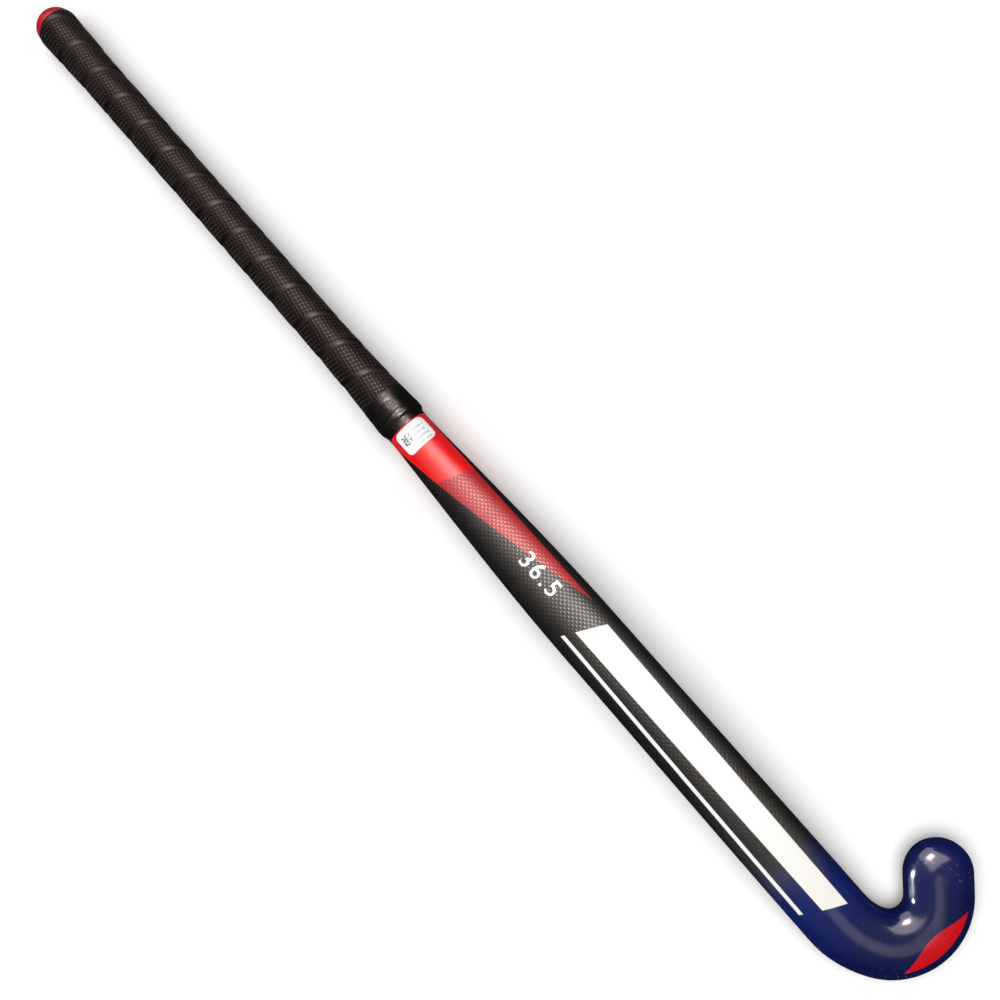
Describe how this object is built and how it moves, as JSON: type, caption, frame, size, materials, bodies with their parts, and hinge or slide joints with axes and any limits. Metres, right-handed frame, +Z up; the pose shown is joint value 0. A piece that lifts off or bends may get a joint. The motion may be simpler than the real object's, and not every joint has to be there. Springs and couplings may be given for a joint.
{
  "type": "field hockey stick",
  "caption": "Adult composite field hockey stick with a hooked head, a flat playing face, a bowed shaft and a wound handle grip.",
  "frame": {"origin": "below the middle of the whole stick, on the surface that it lies on, face down with the rounded back upwards", "axes": "+X from the butt to the head, +Y towards the toe, +Z up, out of the rounded back"},
  "size_m": [0.9252, 0.1154, 0.0459],
  "materials": {
    "painted_laminate": "black carbon weave with a red flash and white stripes, fading to navy at the head, under clear gloss",
    "inner_laminate": "bare woven laminate",
    "foam": "cut rigid foam",
    "cap": "smooth red rubber",
    "grip": "soft black polyurethane tape with small dimples, wound in a spiral",
    "tape": "stretched black vinyl tape",
    "label": "coated white label with grey printed bars"
  },
  "bodies": {
    "root": {"outer_shell": "painted_laminate", "heel_side_tube": "inner_laminate", "toe_side_tube": "inner_laminate", "head_core": "foam", "butt_plug": "foam", "end_cap": "cap", "grip_tape": "grip", "finishing_tape": "tape", "collar_tape": "tape", "size_label": "label"}
  },
  "joints": []
}
